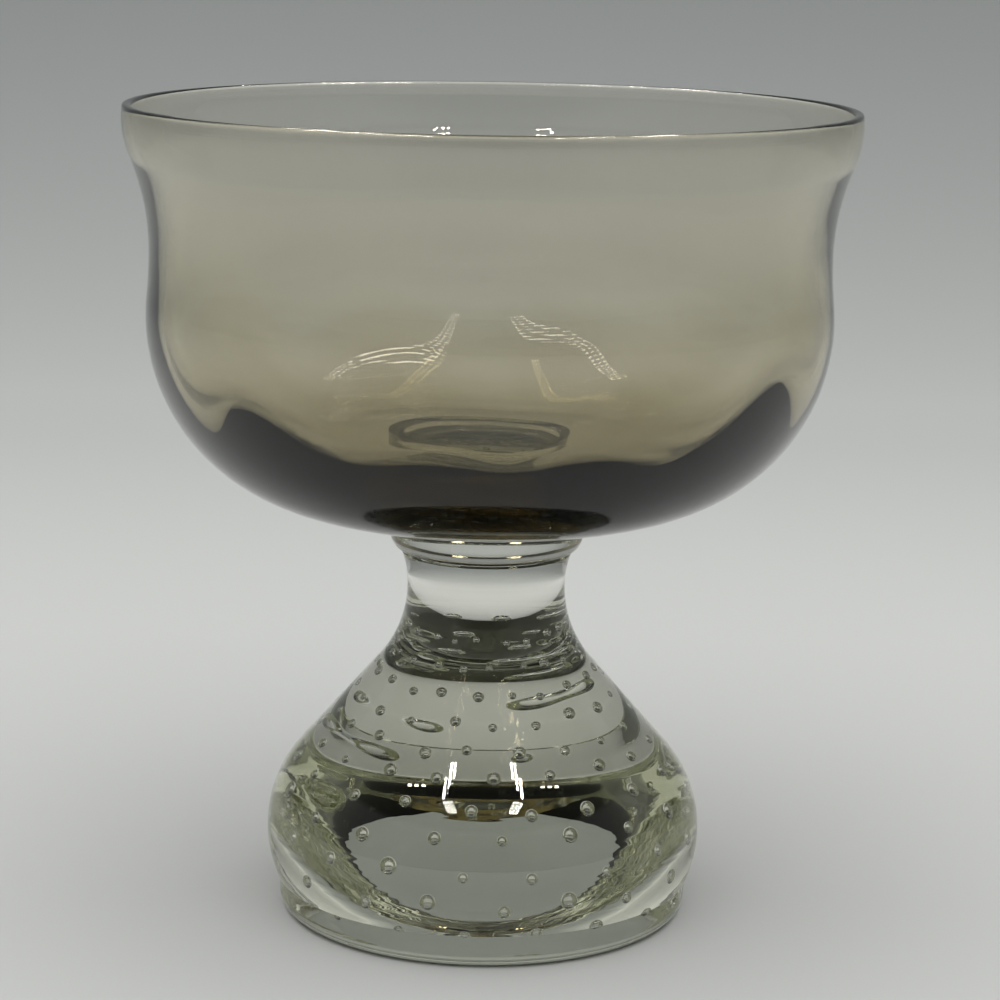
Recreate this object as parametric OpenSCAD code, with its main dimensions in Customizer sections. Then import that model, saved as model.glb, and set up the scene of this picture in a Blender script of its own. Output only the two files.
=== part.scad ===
// Footed compote dish: a smoke glass bowl on a clear foot with rows of trapped air bubbles.
// Millimetres, +Z up, origin at the middle of the ground base.

/* [Bowl] */
// Outside diameter of the rim
rim_d = 100; // [80:0.5:130]
// Height of the bowl, from its seat on the collar to the rim
bowl_h = 55.4; // [46:0.2:70]
// Thickness of the wall at the rim
rim_wall = 1.3; // [0.8:0.1:2]
// Radius of the fire-polished edges of the rim
rim_polish = 0.45; // [0.2:0.05:0.6]
// Thickness of the wall at the belly
belly_wall = 2.2; // [1.4:0.1:3.2]
// Thickness of the floor
floor_t = 7; // [4:0.2:12]
// How far the lip flares out from the waist
lip_flare = 3.5; // [1:0.1:6]
// Profile radius of the lip
lip_round = 14; // [8:0.5:18]
// Depth below the rim at which the lip is widest
lip_drop = 1.8; // [1:0.1:4]
// How far the waist is drawn in from the belly
waist_in = 0.5; // [0.3:0.1:1.5]
// Place of the waist, as a share of the way from the belly up to the lip
waist_share = 0.34; // [0.25:0.01:0.5]
// Profile radius of the belly
belly_round = 26.8; // [20:0.2:33]

/* [Optic panels] */
// Number of soft panels blown into the inside of the bowl
panels = 10; // [6:1:12]
// Height of the soft ridges between the panels
ridge_h = 0.55; // [0:0.05:1.2]
// Turn of the panels about the axis, in degrees
panel_turn = 5; // [0:1:60]
// Height over which the ridges die out, half of it above the belly
ridge_fade = 24; // [8:0.5:30]
// Share of the turn from belly to floor over which the ridges sink into the floor
ridge_sink = 0.3; // [0.2:0.05:0.6]

/* [Collar] */
// Height of the collar
collar_h = 6; // [4.5:0.1:8]
// Diameter of the collar
collar_d = 26.8; // [23:0.2:36]
// Profile radius of the collar's lower edge
collar_round = 2.2; // [0.5:0.1:3]
// Depth of the crease in the neck under the collar
crease = 0.3; // [0.1:0.05:0.6]

/* [Foot] */
// Height of the foot, from the ground base to the collar
foot_h = 51.2; // [42:0.2:62]
// Largest diameter of the foot
foot_d = 61; // [52:0.5:74]
// Height of the largest diameter
bulge_h = 11.4; // [9:0.2:14]
// Profile radius of the shoulder
shoulder_round = 16.8; // [12:0.2:23]
// Smallest diameter of the neck
neck_d = 22; // [16:0.1:26]
// Depth of the smallest diameter below the collar
neck_drop = 5; // [4:0.1:8]
// Profile radius of the flute from the neck up to the collar
neck_flute = 14; // [10:0.5:20]
// Profile radius of the sweep from the neck into the shoulder
neck_sweep = 16.5; // [8:0.5:18]
// Diameter of the pad at the bottom of the foot
pad_d = 57.5; // [50:0.5:70]
// Height of the pad
pad_h = 4.7; // [3:0.1:6]
// Radius of the ground edge round the base
pad_edge = 2; // [0.5:0.1:2.5]

/* [Bubbles] */
// Thickness of the outer gather over the core
casing_t = 3.2; // [2:0.1:4]
// Thickness of the outer gather under the core
casing_floor = 3; // [2:0.1:4]
// Diameter of the widest bubbles
bubble_d = 1.6; // [0.8:0.1:2]
// Bubbles in a row round the foot
bubbles_round = 18; // [12:1:20]
// Rows of bubbles, from the base to the neck
bubble_rows = 11; // [6:1:13]
// Distance of the lowest row from the bottom edge of the core
first_row = 1.8; // [1:0.1:4]
// Distance of the highest row from the collar
last_row = 11.5; // [1.5:0.1:14]

/* [Hidden] */
$fn = 120;
bubble_fn = 20;
arc_step = 1.6;
panel_steps = 10;
turn_rings = 12;
wall_rings = 10;
edge_rings = 3;

// Heights of the joints and the rim
bowl_z = foot_h + collar_h;
rim_z = bowl_z + bowl_h;
lip_z = rim_z - lip_drop;
belly_z = bowl_z + belly_round;
waist_z = belly_z + waist_share * (lip_z - belly_z);

// Radii of the bowl's outside
rim_r = rim_d / 2;
waist_r = rim_r - lip_flare;
belly_r = waist_r + waist_in;
belly_mid = belly_r - belly_round;
lip_mid = rim_r - lip_round;

// Arcs of the waist, each tangent to the arc beyond it
flare_round = tangent_sum(lip_flare, lip_z - waist_z) - lip_round;
draw_round = tangent_sum(waist_in, waist_z - belly_z) - belly_round;
lip_join = waist_z + (lip_z - waist_z) * flare_round / (flare_round + lip_round);
belly_join = waist_z - (waist_z - belly_z) * draw_round / (draw_round + belly_round);

// Rim, with its two edges melted round inside its wall
rim_crest = 0.1;
rim_edge = min(rim_polish, (rim_wall - rim_crest) / 2);
rim_edge_z = rim_z - rim_edge;
rim_top_r = bowl_r(rim_edge_z);

// Cavity of the bowl
cavity_steps = panels * panel_steps;
above_rim = 1;

// Collar, and the neck with one arc up to it and another down to the shoulder
collar_r = collar_d / 2;
neck_r = neck_d / 2;
neck_z = foot_h - neck_drop;
seam_r = neck_r + neck_flute - sqrt(neck_flute^2 - neck_drop^2);

// Shoulder, tangent to the neck's sweep along a straight cone
foot_r = foot_d / 2;
pad_r = pad_d / 2;
sweep_room = tangent_sum(foot_r - neck_r, neck_z - bulge_h);
sweep_fit = min(1, sweep_room / (neck_sweep + shoulder_round));
sweep_r = neck_sweep * sweep_fit;
shoulder_r = shoulder_round * sweep_fit;
sweep_mid = neck_r + sweep_r;
shoulder_mid = foot_r - shoulder_r;
mid_span = norm([sweep_mid - shoulder_mid, neck_z - bulge_h]);
mid_turn = atan2(neck_z - bulge_h, sweep_mid - shoulder_mid);
cone_turn = mid_turn - acos(min(1, (sweep_r + shoulder_r) / mid_span));

// Path of the bubbles along the face of the core, in degrees and millimetres
core_round = shoulder_r - casing_t;
core_sweep = sweep_r + casing_t;
core_low = asin((bulge_h - casing_floor) / core_round);
bulge_run = core_round * (core_low + cone_turn) * PI / 180;
cone_run = sqrt(max(0, mid_span^2 - (sweep_r + shoulder_r)^2));
sweep_run = core_sweep * cone_turn * PI / 180;
row_gap = (bulge_run + cone_run + sweep_run + neck_drop - first_row - last_row) / (bubble_rows - 1);

// Turn of the lowest row, as a share of the step from bubble to bubble
row_start = 0.25;
// Turn of each bubble's own axis, so that neither its poles nor its seam lie on the face of the core
bubble_lean = 50;

// Sum of the radii of two tangent arcs, from their upright ends' offsets
function tangent_sum(across, up) = (across^2 + up^2) / (2 * across);

function ease(t) = t <= 0 ? 0 : t >= 1 ? 1 : t^2 * (3 - 2 * t);

// Radius of the bowl's outside at a height
function bowl_r(z) =
    z < belly_join ? belly_mid + sqrt(belly_round^2 - (z - belly_z)^2) :
    z < waist_z ? waist_r + draw_round - sqrt(draw_round^2 - (z - waist_z)^2) :
    z < lip_join ? waist_r + flare_round - sqrt(flare_round^2 - (z - waist_z)^2) :
    lip_mid + sqrt(lip_round^2 - (z - lip_z)^2);

// Thickness of the bowl's wall at a height above the belly, and at a share of the turn from belly to floor
function wall_t(z) = rim_wall + (belly_wall - rim_wall) * ease((rim_z - z) / (rim_z - belly_z));
function turn_t(share) = belly_wall + (floor_t - belly_wall) * ease(share);

// How far the ridges stand at a height: they die out evenly across the belly
function ridge_share(z) = 1 - ease((z - belly_z) / ridge_fade + 1 / 2);

// Rings of the cavity from the floor to the rim: radius, height, lean and share of the ridges
function turn_ring(share) =
    let (a = -90 * share, r = belly_round - turn_t(share), z = belly_z + r * sin(a))
    [belly_mid + r * cos(a), z, a, ridge_share(z) * ease((1 - share) / ridge_sink)];
function wall_ring(z) = [bowl_r(z) - wall_t(z), z, 0, ridge_share(z)];
function edge_ring(a) =
    [rim_top_r - rim_wall + rim_edge * (1 - cos(a)), rim_edge_z + rim_edge * sin(a), 0, 0];

function cavity_rings() = [
    for (i = [0:turn_rings]) turn_ring(1 - i / turn_rings),
    for (i = [1:wall_rings - 1]) wall_ring(belly_z + (rim_edge_z - belly_z) * i / wall_rings),
    for (i = [0:edge_rings]) edge_ring(90 * i / edge_rings),
    [rim_top_r - rim_wall + rim_edge, rim_z + above_rim, 0, 0]
];

// A point of the cavity: its ring's point, moved in where a ridge stands
function cavity_point(ring, turn) =
    let (rise = ridge_h * ring[3] * (1 + cos(panels * (turn - panel_turn))) / 2,
         r = ring[0] - rise * cos(ring[2]))
    [r * cos(turn), r * sin(turn), ring[1] - rise * sin(ring[2])];

// Place on the face of the core at a distance along the path, as radius and height
function core_place(run) =
    run < bulge_run ? bulge_place(run / core_round * 180 / PI - core_low) :
    run < bulge_run + cone_run ? cone_place(run - bulge_run) :
    run < bulge_run + cone_run + sweep_run ? sweep_place(cone_turn - (run - bulge_run - cone_run)
                                                         / core_sweep * 180 / PI) :
    sweep_place(0) + [0, run - bulge_run - cone_run - sweep_run];
function bulge_place(a) = [shoulder_mid, bulge_h] + core_round * [cos(a), sin(a)];
function cone_place(run) = bulge_place(cone_turn) + run * [-sin(cone_turn), cos(cone_turn)];
function sweep_place(a) = [sweep_mid, neck_z] - core_sweep * [cos(a), sin(a)];

// Points of an arc of a profile, both ends included
function arc(mid, r, from, to) =
    let (steps = ceil(abs(to - from) * PI / 180 * r / arc_step), turn = (to - from) / steps)
    [for (i = [0:steps]) mid + r * [cos(from + turn * i), sin(from + turn * i)]];

module bowl_profile() {
    belly_turn = asin((belly_join - belly_z) / belly_round);
    draw_turn = asin((belly_join - waist_z) / draw_round);
    flare_turn = asin((lip_join - waist_z) / flare_round);
    lip_turn = asin((lip_join - lip_z) / lip_round);
    top_turn = asin((rim_edge_z - lip_z) / lip_round);
    seat_r = max(belly_mid, collar_r);
    seat_turn = -acos((seat_r - belly_mid) / belly_round);
    polygon(concat(
        [[0, rim_z], [0, bowl_z], [seat_r, bowl_z]],
        arc([belly_mid, belly_z], belly_round, seat_turn, belly_turn),
        arc([waist_r + draw_round, waist_z], draw_round, 180 - draw_turn, 180),
        arc([waist_r + flare_round, waist_z], flare_round, 180, 180 - flare_turn),
        arc([lip_mid, lip_z], lip_round, lip_turn, top_turn),
        arc([rim_top_r - rim_edge, rim_edge_z], rim_edge, 0, 90)
    ));
}

// Inside of the bowl, lofted through rings of points
module bowl_cavity() {
    rings = cavity_rings();
    last = len(rings) - 1;
    points = [for (ring = rings) for (i = [0:cavity_steps - 1]) cavity_point(ring, 360 * i / cavity_steps)];
    floor_face = [for (i = [0:cavity_steps - 1]) i];
    mouth_face = [for (i = [cavity_steps - 1:-1:0]) last * cavity_steps + i];
    side_faces = [
        for (k = [0:last - 1]) for (i = [0:cavity_steps - 1])
            let (a = k * cavity_steps + i, b = k * cavity_steps + (i + 1) % cavity_steps)
            each [[a, a + cavity_steps, b], [b, a + cavity_steps, b + cavity_steps]]
    ];
    polyhedron(points, concat([floor_face], side_faces, [mouth_face]));
}

module bowl() {
    color([0.36, 0.34, 0.26, 0.6])
        difference() {
            rotate_extrude() bowl_profile();
            bowl_cavity();
        }
}

// Button of glass between the neck and the bowl, rounded under its edge
module collar() {
    color([0.86, 0.88, 0.84, 0.4])
        rotate_extrude()
            polygon(concat(
                [[0, bowl_z], [0, foot_h]],
                arc([collar_r - collar_round, foot_h + collar_round], collar_round, -90, 0),
                [[collar_r, bowl_z]]
            ));
}

// Sweep of the foot from its shoulder up to the neck, or of the core inside it when inset by the casing
function foot_sweep(inset, low) =
    concat(
        arc([shoulder_mid, bulge_h], shoulder_r - inset, low, cone_turn),
        arc([sweep_mid, neck_z], sweep_r + inset, 180 + cone_turn, 180)
    );

module foot_profile() {
    pad_turn = -asin((bulge_h - pad_h) / shoulder_r);
    seam_turn = asin((neck_drop - crease) / neck_flute);
    polygon(concat(
        [[0, foot_h], [0, 0]],
        arc([pad_r - pad_edge, pad_edge], pad_edge, -90, 0),
        [[pad_r, pad_h]],
        foot_sweep(0, pad_turn),
        arc([neck_r + neck_flute, neck_z], neck_flute, 180, 180 - seam_turn),
        [[seam_r - crease, foot_h]]
    ));
}

module core_profile() {
    polygon(concat(
        [[0, foot_h], [0, casing_floor]],
        foot_sweep(casing_t, -core_low),
        [[neck_r - casing_t, foot_h]]
    ));
}

// Rows of air bubbles on the face of the core, each row turned half a step from the last
module bubbles() {
    step = 360 / bubbles_round;
    for (row = [0:bubble_rows - 1]) {
        place = core_place(first_row + row * row_gap);
        size = bubble_d * sqrt(place[0] / (foot_r - casing_t));
        for (i = [0:bubbles_round - 1])
            rotate((i + row / 2 + row_start) * step)
                translate([place[0], 0, place[1]])
                    rotate([0, 90, bubble_lean]) sphere(d = size, $fn = bubble_fn);
    }
}

module foot_core() {
    color([0.8, 0.84, 0.78, 0.4])
        difference() {
            rotate_extrude() core_profile();
            bubbles();
        }
}

module foot_casing() {
    color([0.86, 0.88, 0.84, 0.4])
        difference() {
            rotate_extrude() difference() {
                foot_profile();
                core_profile();
            }
            bubbles();
        }
}

bowl();
collar();
foot_core();
foot_casing();
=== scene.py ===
"""Footed compote dish of hot-worked glass.

A smoke bowl stands on a clear foot with rows of trapped air bubbles.
"""

import math
import random

import bmesh
import bpy
from mathutils import Matrix, Vector


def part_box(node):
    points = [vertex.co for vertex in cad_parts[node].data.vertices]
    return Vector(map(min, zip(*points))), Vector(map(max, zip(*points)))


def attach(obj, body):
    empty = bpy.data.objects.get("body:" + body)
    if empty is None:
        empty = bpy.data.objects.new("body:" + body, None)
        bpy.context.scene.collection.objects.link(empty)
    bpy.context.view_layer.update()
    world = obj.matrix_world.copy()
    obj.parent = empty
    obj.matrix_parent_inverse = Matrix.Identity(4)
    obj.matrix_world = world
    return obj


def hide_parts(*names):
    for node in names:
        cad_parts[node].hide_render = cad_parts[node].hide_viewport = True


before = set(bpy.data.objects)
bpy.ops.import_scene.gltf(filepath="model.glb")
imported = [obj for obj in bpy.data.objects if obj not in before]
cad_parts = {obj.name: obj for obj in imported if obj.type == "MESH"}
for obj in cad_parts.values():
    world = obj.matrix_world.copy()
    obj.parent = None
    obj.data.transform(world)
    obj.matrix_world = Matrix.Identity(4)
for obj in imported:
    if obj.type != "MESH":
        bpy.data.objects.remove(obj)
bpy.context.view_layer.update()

MM = 0.001

# Sizes that the frame gives, in millimetres.
bowl_low, bowl_high = (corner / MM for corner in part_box("bowl"))
core_low, core_high = (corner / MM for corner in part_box("foot_core"))
collar_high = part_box("collar")[1] / MM
foot_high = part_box("foot_casing")[1] / MM
BOWL_Z = bowl_low.z
RIM_Z = bowl_high.z
RIM_R = bowl_high.x
JOINT_R = collar_high.x
FOOT_H = foot_high.z
FOOT_R = foot_high.x
CASING_FLOOR = core_low.z
CASING_T = foot_high.x - core_high.x

# Sizes of the bowl's profile, in millimetres.
RIM_WALL = 1.3
RIM_EDGE = 0.45
BELLY_WALL = 2.2
FLOOR_T = 7.0
LIP_FLARE = 3.5
LIP_ROUND = 14
LIP_DROP = 1.8
WAIST_IN = 0.5
WAIST_SHARE = 0.34
BELLY_ROUND = 26.8

# Optic panels blown into the inside of the bowl, with soft ridges between them. The ridges fade out
# over a height in millimetres, and sink into the floor over a share of the belly.
PANELS = 10
RIDGE_H = 0.55
PANEL_TURN = math.radians(5)
RIDGE_FADE = 24
RIDGE_SINK = 0.3

# Sizes of the foot's profile, in millimetres.
COLLAR_ROUND = 2.2
CREASE = 0.3
BULGE_H = 11.4
SHOULDER_ROUND = 16.8
NECK_R = 11.0
NECK_DROP = 5.0
NECK_Z = FOOT_H - NECK_DROP
NECK_FLUTE = 14
NECK_SWEEP = 16.5
PAD_R = 28.75
PAD_H = 4.7
PAD_EDGE = 2.0

# Rows of bubbles between the two gathers of the foot, in millimetres.
# The turns of the rows are shares of the spacing round them.
BUBBLE_D = 1.8
BUBBLES_ROUND = 18
BUBBLE_ROWS = 11
FIRST_ROW = 1.8
LAST_ROW = 11.5
FIRST_TURN = 0.25
ROW_STAGGER = 0.5
BUBBLE_STRAY = 0.8
BUBBLE_SIZE_STRAY = 0.28
STRAY_SEED = 7

# Fineness of the glass meshes, with the step along a profile in millimetres.
ARC_STEP = 0.45
ARC_LEAST_STEPS = 6
TURN_STEPS = 240
BUBBLE_CUTS = 3
SHARP_ANGLE = math.radians(24)

# Glass bends light by this much, and not at all across a fused joint.
# The pieces stay apart there by a hair, in millimetres.
GLASS_IOR = 1.5
FUSED_IOR = 1.0
FUSED_GAP = 0.02


def ease(t):
    """A smooth rise from 0 to 1."""
    t = min(1, max(0, t))
    return t * t * (3 - 2 * t)


def tangent_sum(across, up):
    """Sum of the radii of two tangent arcs, from the offsets between their upright ends."""
    return (across ** 2 + up ** 2) / (2 * across)


def arc(mid, r, start, end):
    """Points of an arc of a profile, both ends included, with angles in radians."""
    steps = max(ARC_LEAST_STEPS, math.ceil(abs(end - start) * r / ARC_STEP))
    turns = [start + (end - start) * i / steps for i in range(steps + 1)]
    return [(mid[0] + r * math.cos(t), mid[1] + r * math.sin(t)) for t in turns]


def line(start, end):
    """Points along a straight stretch of a profile, without its ends."""
    steps = max(1, math.ceil(math.dist(start, end) / ARC_STEP))
    return [tuple(a + (b - a) * i / steps for a, b in zip(start, end)) for i in range(1, steps)]


class BowlProfile:
    """Outside of the bowl as four tangent arcs: belly, the two sides of the waist, and lip."""

    lip_z = RIM_Z - LIP_DROP
    belly_z = BOWL_Z + BELLY_ROUND
    waist_z = belly_z + WAIST_SHARE * (lip_z - belly_z)
    waist_r = RIM_R - LIP_FLARE
    belly_mid = waist_r + WAIST_IN - BELLY_ROUND
    lip_mid = RIM_R - LIP_ROUND
    flare = tangent_sum(LIP_FLARE, lip_z - waist_z) - LIP_ROUND
    draw = tangent_sum(WAIST_IN, waist_z - belly_z) - BELLY_ROUND
    lip_join = waist_z + (lip_z - waist_z) * flare / (flare + LIP_ROUND)
    belly_join = waist_z - (waist_z - belly_z) * draw / (draw + BELLY_ROUND)
    edge_z = RIM_Z - RIM_EDGE

    @classmethod
    def radius(cls, z):
        """Radius of the outside at a height."""
        if z < cls.belly_join:
            return cls.belly_mid + math.sqrt(BELLY_ROUND ** 2 - (z - cls.belly_z) ** 2)
        if z < cls.waist_z:
            return cls.waist_r + cls.draw - math.sqrt(cls.draw ** 2 - (z - cls.waist_z) ** 2)
        if z < cls.lip_join:
            return cls.waist_r + cls.flare - math.sqrt(cls.flare ** 2 - (z - cls.waist_z) ** 2)
        return cls.lip_mid + math.sqrt(LIP_ROUND ** 2 - (z - cls.lip_z) ** 2)

    @classmethod
    def wall(cls, z):
        """Thickness of the wall, which thins from the belly to the rim."""
        return RIM_WALL + (BELLY_WALL - RIM_WALL) * ease((RIM_Z - z) / (RIM_Z - cls.belly_z))


def bowl_outside():
    """Profile of the outside, from the seat on the collar to the crest of the rim."""
    b = BowlProfile
    belly = arc((b.belly_mid, b.belly_z), BELLY_ROUND, -math.pi / 2,
                math.asin((b.belly_join - b.belly_z) / BELLY_ROUND))
    draw = arc((b.waist_r + b.draw, b.waist_z), b.draw,
               math.pi - math.asin((b.belly_join - b.waist_z) / b.draw), math.pi)
    flare = arc((b.waist_r + b.flare, b.waist_z), b.flare,
                math.pi, math.pi - math.asin((b.lip_join - b.waist_z) / b.flare))
    lip = arc((b.lip_mid, b.lip_z), LIP_ROUND,
              math.asin((b.lip_join - b.lip_z) / LIP_ROUND),
              math.asin((b.edge_z - b.lip_z) / LIP_ROUND))
    edge = arc((b.radius(b.edge_z) - RIM_EDGE, b.edge_z), RIM_EDGE, 0, math.pi / 2)
    seat = line((JOINT_R, BOWL_Z), belly[0])
    return seat + belly + draw[1:] + flare[1:] + lip[1:] + edge[1:]


def ridge_share(z):
    """How far the ridges stand at a height: they die out evenly across the belly."""
    return 1 - ease((z - BowlProfile.belly_z) / RIDGE_FADE + 1 / 2)


def bowl_inside():
    """Rings of the inside, from the rim to the floor: radius, height, lean and share of a ridge."""
    b = BowlProfile
    edge_r = b.radius(b.edge_z) - RIM_WALL + RIM_EDGE
    rings = arc((edge_r, b.edge_z), RIM_EDGE, math.pi / 2, math.pi)
    steps = math.ceil((b.edge_z - b.belly_z) / ARC_STEP)
    for i in range(1, steps):
        z = b.edge_z + (b.belly_z - b.edge_z) * i / steps
        rings.append((b.radius(z) - b.wall(z), z, 0, ridge_share(z)))
    steps = math.ceil(BELLY_ROUND * math.pi / 2 / ARC_STEP)
    for i in range(steps + 1):
        share = i / steps
        lean = -math.pi / 2 * share
        r = BELLY_ROUND - BELLY_WALL - (FLOOR_T - BELLY_WALL) * ease(share)
        z = b.belly_z + r * math.sin(lean)
        ridge = ridge_share(z) * ease((1 - share) / RIDGE_SINK)
        rings.append((b.belly_mid + r * math.cos(lean), z, lean, ridge))
    return rings


def ridged(turn, r, z, lean=0, share=0):
    """A point of a ring, moved into the bowl where a soft ridge stands between two panels."""
    rise = RIDGE_H * share * (1 + math.cos(PANELS * (turn - PANEL_TURN))) / 2
    return r - rise * math.cos(lean), z - rise * math.sin(lean)


def flute(low, high):
    """Profile of the neck's flute between two heights."""
    turns = [math.pi - math.asin((z - NECK_Z) / NECK_FLUTE) for z in (low, high)]
    return arc((NECK_R + NECK_FLUTE, NECK_Z), NECK_FLUTE, *turns)


class FootSweep:
    """Sweep of the foot from its shoulder along a cone up to its neck."""

    mid = Vector((FOOT_R - SHOULDER_ROUND, BULGE_H))
    neck_mid = Vector((NECK_R + NECK_SWEEP, NECK_Z))
    span = (neck_mid - mid).length
    cone_turn = (math.atan2(neck_mid.y - mid.y, neck_mid.x - mid.x)
                 - math.acos((SHOULDER_ROUND + NECK_SWEEP) / span))

    @classmethod
    def outline(cls, inset, low):
        """Profile set in from the outside, from an angle low on the shoulder up to the neck."""
        bulge = arc(cls.mid, SHOULDER_ROUND - inset, low, cls.cone_turn)
        neck = arc(cls.neck_mid, NECK_SWEEP + inset, math.pi + cls.cone_turn, math.pi)
        return bulge + line(bulge[-1], neck[0]) + neck


def foot_outline():
    """Profile of the foot from its base up to the collar."""
    base = arc((PAD_R - PAD_EDGE, PAD_EDGE), PAD_EDGE, -math.pi / 2, 0)
    low = -math.asin((BULGE_H - PAD_H) / SHOULDER_ROUND)
    pad_top = (PAD_R, PAD_H)
    pad = base + line(base[-1], pad_top) + [pad_top]
    neck = flute(NECK_Z, FOOT_H - CREASE)
    return pad + FootSweep.outline(0, low) + neck[1:]


def bubble_places():
    """Centres and radii of the bubbles, in rows along the face between the two gathers."""
    low = -math.asin((BULGE_H - CASING_FLOOR) / (SHOULDER_ROUND - CASING_T))
    path = FootSweep.outline(CASING_T, low)
    path.append((NECK_R - CASING_T, FOOT_H))
    lengths = [math.dist(a, b) for a, b in zip(path, path[1:])]
    gap = (sum(lengths) - FIRST_ROW - LAST_ROW) / (BUBBLE_ROWS - 1)
    stray = random.Random(STRAY_SEED)
    for row in range(BUBBLE_ROWS):
        run = FIRST_ROW + row * gap
        k = 0
        while run > lengths[k]:
            run -= lengths[k]
            k += 1
        r, z = Vector(path[k]).lerp(Vector(path[k + 1]), run / lengths[k])
        size = BUBBLE_D / 2 * math.sqrt(r / (FOOT_R - CASING_T))
        slip = BUBBLE_STRAY * size / (BUBBLE_D / 2)
        for i in range(BUBBLES_ROUND):
            turn = (i + row * ROW_STAGGER + FIRST_TURN) * 2 * math.pi / BUBBLES_ROUND
            turn += stray.uniform(-slip, slip) / r
            up = z + stray.uniform(-slip, slip)
            growth = 1 + stray.uniform(-BUBBLE_SIZE_STRAY, BUBBLE_SIZE_STRAY)
            yield Vector((r * math.cos(turn), r * math.sin(turn), up)), size * growth


class GlassMesh:
    """A closed glass body, gathered ring by ring, whose faces keep how far they bend light."""

    def __init__(self):
        self.points = []
        self.faces = []
        self.bends = []
        self.smooth = []

    def face(self, corners, bend, smooth=True):
        self.faces.append(corners)
        self.bends.append(bend)
        self.smooth.append(smooth)

    def turn(self, rings, fused_first=False, fused_last=False):
        """A body turned through rings, closed by a level disc at each end, which may be fused."""
        start = len(self.points)
        for ring in rings:
            for i in range(TURN_STEPS):
                angle = 2 * math.pi * i / TURN_STEPS
                r, z = ridged(angle, *ring)
                self.points.append((r * math.cos(angle), r * math.sin(angle), z))
        for k in range(len(rings) - 1):
            for i in range(TURN_STEPS):
                a = start + k * TURN_STEPS + i
                b = start + k * TURN_STEPS + (i + 1) % TURN_STEPS
                self.face((a, b, b + TURN_STEPS, a + TURN_STEPS), GLASS_IOR)
        last = start + (len(rings) - 1) * TURN_STEPS
        self.disc(start, rings[0][1], FUSED_IOR if fused_first else GLASS_IOR, down=True)
        self.disc(last, rings[-1][1], FUSED_IOR if fused_last else GLASS_IOR, down=False)

    def disc(self, start, z, bend, down):
        """A level disc across the ring that begins at a point."""
        centre = len(self.points)
        self.points.append((0, 0, z))
        for i in range(TURN_STEPS):
            a, b = start + i, start + (i + 1) % TURN_STEPS
            self.face((b, a, centre) if down else (a, b, centre), bend, smooth=False)

    def hollow(self, centre, r):
        """A round bubble of air inside the glass."""
        start = len(self.points)
        self.points += [centre + r * p for p in BUBBLE_POINTS]
        for corners in BUBBLE_FACES:
            self.face(tuple(start + c for c in reversed(corners)), GLASS_IOR)

    def piece(self, name, material):
        """The body as an object of the scene, in metres."""
        mesh = bpy.data.meshes.new(name)
        mesh.from_pydata([Vector(p) * MM for p in self.points], [], self.faces)
        mesh.polygons.foreach_set("use_smooth", self.smooth)
        mesh.attributes.new("bend", "FLOAT", "FACE").data.foreach_set("value", self.bends)
        mesh.set_sharp_from_angle(angle=SHARP_ANGLE)
        mesh.materials.append(material)
        piece = bpy.data.objects.new(name, mesh)
        bpy.context.scene.collection.objects.link(piece)
        return piece


def round_bubble():
    """Points and faces of a round bubble of unit radius."""
    ball = bmesh.new()
    bmesh.ops.create_icosphere(ball, subdivisions=BUBBLE_CUTS, radius=1)
    points = [v.co.copy() for v in ball.verts]
    faces = [tuple(v.index for v in f.verts) for f in ball.faces]
    ball.free()
    return points, faces


BUBBLE_POINTS, BUBBLE_FACES = round_bubble()


def linear(text):
    """An sRGB hex colour as linear red, green, blue and alpha."""
    parts = [int(text[i:i + 2], 16) / 255 for i in (1, 3, 5)]
    return [p / 12.92 if p <= 0.04045 else ((p + 0.055) / 1.055) ** 2.4 for p in parts] + [1]


def add(tree, kind, settings=None, **links):
    """Adds a node, sets its properties and inputs by name, and links the named inputs."""
    made = tree.nodes.new(kind)
    for key, value in (settings or {}).items():
        if key in made.inputs:
            made.inputs[key].default_value = value
        else:
            setattr(made, key, value)
    for key, source in links.items():
        tree.links.new(source, made.inputs[key.replace("_", " ")])
    return made


def blank(name):
    """A new material with no nodes yet, and its node tree."""
    material = bpy.data.materials.new(name)
    material.use_nodes = True
    material.node_tree.nodes.clear()
    return material, material.node_tree


# The surface of glass is smooth and colourless.
SURFACE_TONE = "#ffffff"


def glass(name, colour, density, ripple, height):
    """Glass that takes its tint from its thickness, with a faint ripple left by hand work.

    The ripple is given by its lengths round and up the piece and its height, in millimetres.
    """
    material, tree = blank(name)
    bend = add(tree, "ShaderNodeAttribute", {"attribute_name": "bend"})
    place = add(tree, "ShaderNodeTexCoord")
    round_length, up_length = ripple
    scale = (1 / (round_length * MM), 1 / (round_length * MM), 1 / (up_length * MM))
    spread = add(tree, "ShaderNodeMapping", {"Scale": scale}, Vector=place.outputs["Object"])
    wave = add(tree, "ShaderNodeTexNoise", {"Scale": 1.0, "Detail": 1.0},
               Vector=spread.outputs["Vector"])
    relief = add(tree, "ShaderNodeBump", {"Strength": 1.0, "Distance": height * MM},
                 Height=wave.outputs["Fac"])
    body = add(tree, "ShaderNodeBsdfPrincipled", {
        "Base Color": linear(SURFACE_TONE), "Roughness": 0.0,
        "Transmission Weight": 1.0, "IOR": GLASS_IOR,
    }, IOR=bend.outputs["Fac"], Normal=relief.outputs["Normal"])
    tint = add(tree, "ShaderNodeVolumeAbsorption", {"Color": linear(colour), "Density": density})
    add(tree, "ShaderNodeOutputMaterial", Surface=body.outputs[0], Volume=tint.outputs[0])
    return material


# Smoke glass, blown: olive grey in the thin wall and near black in the thick floor.
# Its slow ripple bends the glints.
SMOKE_TINT = "#cbc299"
SMOKE_DENSITY = 218.0
SMOKE_RIPPLE = (22, 16)
SMOKE_RIPPLE_H = 0.06

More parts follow.
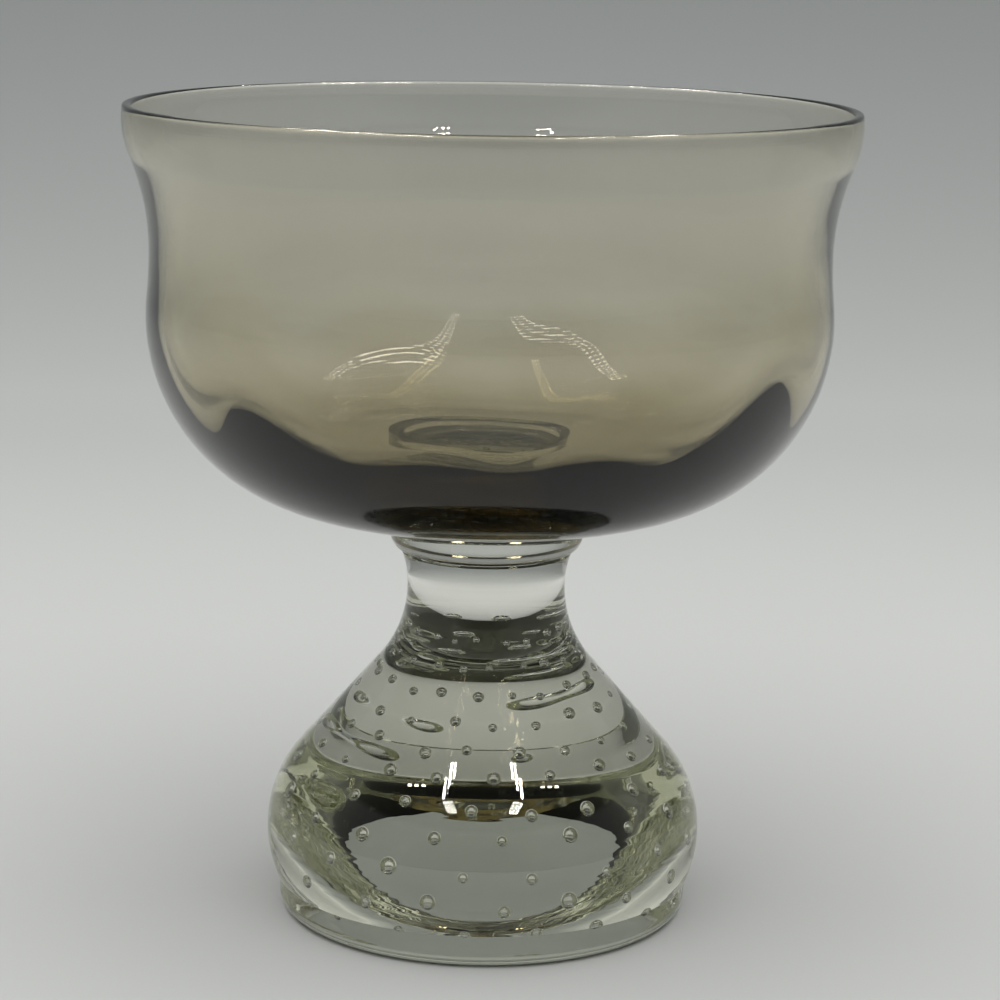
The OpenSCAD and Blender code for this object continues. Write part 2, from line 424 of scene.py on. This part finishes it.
# Clear glass, gathered and turned: bright, heavy, and faintly olive in its depth.
# Fine rings from the turning blur what it mirrors.
CLEAR_TINT = "#f2f3e6"
CLEAR_DENSITY = 26.0
CLEAR_RIPPLE = (26, 1.1)
CLEAR_RIPPLE_H = 0.006

smoke_glass = glass("smoke_glass", SMOKE_TINT, SMOKE_DENSITY, SMOKE_RIPPLE, SMOKE_RIPPLE_H)
clear_glass = glass("clear_glass", CLEAR_TINT, CLEAR_DENSITY, CLEAR_RIPPLE, CLEAR_RIPPLE_H)


def make_bowl():
    """The blown bowl, fused to the collar below it."""
    body = GlassMesh()
    rings = [(JOINT_R, BOWL_Z)] + bowl_outside() + bowl_inside()[1:]
    body.turn(rings, fused_first=True)
    bowl = body.piece("blown_bowl", smoke_glass)
    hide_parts("bowl")
    return bowl


def make_collar():
    """The button of glass between the bowl and the foot, fused to both."""
    body = GlassMesh()
    edge = arc((JOINT_R - COLLAR_ROUND, FOOT_H + COLLAR_ROUND), COLLAR_ROUND, -math.pi / 2, 0)
    top = (JOINT_R, BOWL_Z - FUSED_GAP)
    body.turn(edge + line(edge[-1], top) + [top], fused_first=True, fused_last=True)
    collar = body.piece("joining_collar", clear_glass)
    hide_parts("collar")
    return collar


def make_foot():
    """Both gathers of the foot as one body, with the bubbles as hollows in it."""
    body = GlassMesh()
    side = foot_outline()
    top = (side[-1][0] - CREASE, FOOT_H - FUSED_GAP)
    body.turn(side + [top], fused_last=True)
    for centre, r in bubble_places():
        body.hollow(centre, r)
    foot = body.piece("bubbled_foot", clear_glass)
    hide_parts("foot_core", "foot_casing")
    return foot


for piece in (make_bowl(), make_collar(), make_foot()):
    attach(piece, "root")


# Floor and backdrop in one sweep of matt paper, with sizes in metres.
# The paper's colour holds painted shade that darkens it towards the back, and it shows no gloss.
FLOOR_DROP = 0.0001
SWEEP_HALF = 1.2
SWEEP_FRONT = -2.5
SWEEP_BEND = 0.35
SWEEP_ROUND = 0.35
SWEEP_TOP = 0.74
BEND_STEPS = 32
FADE_NEAR = 0.15
FADE_MID = 0.4
FADE_FAR = 0.62
PAPER_SHADE_NEAR = "#d8d9d6"
PAPER_SHADE_MID = "#c8cac7"
PAPER_SHADE_FAR = "#939695"


def make_stage_piece(name, points, faces, material):
    """A piece of the studio, apart from the dish."""
    mesh = bpy.data.meshes.new(name)
    mesh.from_pydata(points, [], faces)
    mesh.polygons.foreach_set("use_smooth", [True] * len(faces))
    mesh.materials.append(material)
    piece = bpy.data.objects.new(name, mesh)
    bpy.context.scene.collection.objects.link(piece)
    return piece


def make_sweep():
    bend = [(SWEEP_BEND + SWEEP_ROUND * math.sin(t), SWEEP_ROUND * (1 - math.cos(t)))
            for t in (math.pi / 2 * i / BEND_STEPS for i in range(BEND_STEPS + 1))]
    side = [(SWEEP_FRONT, 0)] + bend + [(bend[-1][0], SWEEP_TOP)]
    points = [(x, y, z - FLOOR_DROP) for y, z in side for x in (-SWEEP_HALF, SWEEP_HALF)]
    faces = [(2 * i, 2 * i + 1, 2 * i + 3, 2 * i + 2) for i in range(len(side) - 1)]
    material, tree = blank("matt_paper")
    place = add(tree, "ShaderNodeNewGeometry")
    axes = add(tree, "ShaderNodeSeparateXYZ", Vector=place.outputs["Position"])
    # Painted shade: the paper's colour darkens from near to far along the sweep.
    fade = add(tree, "ShaderNodeMapRange", {"From Min": FADE_NEAR, "From Max": FADE_FAR},
               Value=axes.outputs["Y"])
    colour = add(tree, "ShaderNodeValToRGB", Fac=fade.outputs["Result"])
    colour.color_ramp.elements[0].color = linear(PAPER_SHADE_NEAR)
    colour.color_ramp.elements[1].color = linear(PAPER_SHADE_FAR)
    middle = colour.color_ramp.elements.new((FADE_MID - FADE_NEAR) / (FADE_FAR - FADE_NEAR))
    middle.color = linear(PAPER_SHADE_MID)
    paper = add(tree, "ShaderNodeBsdfDiffuse", Color=colour.outputs["Color"])
    add(tree, "ShaderNodeOutputMaterial", Surface=paper.outputs[0])
    make_stage_piece("sweep", points, faces, material)


make_sweep()

# One broad soft panel overhead lights the paper, with sizes in metres.
# The glass neither mirrors it nor shows it.
PANEL_WATTS = 18.5
PANEL_SIZE = 1.8
PANEL_FRONT = -0.35
PANEL_UP = 0.95


def make_panel():
    lamp = bpy.data.lights.new("top_panel", "AREA")
    lamp.size = PANEL_SIZE
    lamp.energy = PANEL_WATTS
    panel = bpy.data.objects.new("top_panel", lamp)
    panel.location = (0, PANEL_FRONT, PANEL_UP)
    panel.visible_glossy = False
    panel.visible_transmission = False
    bpy.context.scene.collection.objects.link(panel)


make_panel()

# Two strips of small lamps overhead, with sizes in metres.
# They show as rows of glints in the glass.
STRIP_X = 0.12
STRIP_UP = 0.42
STRIP_HALF = 0.3
STRIP_ROWS = 3
ROW_GAP = 0.014
LAMP_GAP = 0.022
LAMP_SIZE = 0.0075
LAMP_TONE = "#fffaf0"
LAMP_STRENGTH = 120.0


def make_strips():
    points, faces = [], []
    shifts = [(i - (STRIP_ROWS - 1) / 2) * ROW_GAP for i in range(STRIP_ROWS)]
    rows = [side + shift for side in (-STRIP_X, STRIP_X) for shift in shifts]
    for x in rows:
        for i in range(round(2 * STRIP_HALF / LAMP_GAP) + 1):
            y = -STRIP_HALF + i * LAMP_GAP
            faces.append(tuple(range(len(points), len(points) + 4)))
            points += [(x + dx * LAMP_SIZE / 2, y + dy * LAMP_SIZE / 2, STRIP_UP)
                       for dx, dy in ((-1, -1), (-1, 1), (1, 1), (1, -1))]
    material, tree = blank("strip_lamps")
    # Past a bounce off a matt face the lamps are dark, so they light nothing.
    path = add(tree, "ShaderNodeLightPath")
    seen = add(tree, "ShaderNodeMapRange", {"To Min": LAMP_STRENGTH, "To Max": 0.0},
               Value=path.outputs["Diffuse Depth"])
    glow = add(tree, "ShaderNodeEmission", {"Color": linear(LAMP_TONE)},
               Strength=seen.outputs["Result"])
    add(tree, "ShaderNodeOutputMaterial", Surface=glow.outputs[0])
    make_stage_piece("strips", points, faces, material).visible_diffuse = False


make_strips()

# Room beyond the paper: dark where the camera stands and overhead, pale to the sides and the back.
# The edges between are parts of a direction of unit length.
DARK_TONE = "#0c0c0c"
PALE_TONE = "#8a8c8b"
FRONT_EDGE = -0.95
BACK_EDGE = -0.7
HIGH_EDGE = 0.62
LOW_EDGE = 0.55


def make_room():
    world = bpy.data.worlds.new("studio")
    bpy.context.scene.world = world
    world.use_nodes = True
    room = world.node_tree
    room.nodes.clear()
    way = add(room, "ShaderNodeTexCoord")
    axes = add(room, "ShaderNodeSeparateXYZ", Vector=way.outputs["Generated"])
    low = add(room, "ShaderNodeMapRange", {"From Min": HIGH_EDGE, "From Max": LOW_EDGE},
              Value=axes.outputs["Z"])
    pale = add(room, "ShaderNodeMapRange", {"From Min": FRONT_EDGE, "From Max": BACK_EDGE},
               Value=axes.outputs["Y"], To_Max=low.outputs["Result"])
    walls = add(room, "ShaderNodeValToRGB", Fac=pale.outputs["Result"])
    walls.color_ramp.elements[0].color = linear(DARK_TONE)
    walls.color_ramp.elements[1].color = linear(PALE_TONE)
    air = add(room, "ShaderNodeBackground", Color=walls.outputs["Color"])
    add(room, "ShaderNodeOutputWorld", Surface=air.outputs[0])


make_room()

# Camera as the photo was taken, with distances in metres and angles in degrees.
CAMERA_BACK = 0.4015
CAMERA_UP = 0.1416
CAMERA_DOWN = 11.75
CAMERA_ROLL = 0.9
CAMERA_PAN = -0.25
FOCAL_PX = 2950
IMAGE_PX = 1000
SENSOR_MM = 36
CLIP_START = 0.01


def make_camera():
    camera = bpy.data.cameras.new("camera")
    camera.sensor_width = SENSOR_MM
    camera.lens = camera.sensor_width * FOCAL_PX / IMAGE_PX
    camera.clip_start = CLIP_START
    holder = bpy.data.objects.new("camera", camera)
    aim = (Matrix.Rotation(math.radians(CAMERA_PAN), 4, "Z")
           @ Matrix.Rotation(math.radians(90 - CAMERA_DOWN), 4, "X")
           @ Matrix.Rotation(math.radians(CAMERA_ROLL), 4, "Z"))
    holder.matrix_world = Matrix.Translation((0, -CAMERA_BACK, CAMERA_UP)) @ aim
    bpy.context.scene.collection.objects.link(holder)
    bpy.context.scene.camera = holder


make_camera()

# Light finds its way through the many faces of the foot.
LIGHT_BOUNCES = 48
light = bpy.context.scene.cycles
light.max_bounces = LIGHT_BOUNCES
light.transmission_bounces = LIGHT_BOUNCES
light.glossy_bounces = LIGHT_BOUNCES
bpy.context.scene.view_settings.view_transform = "Standard"
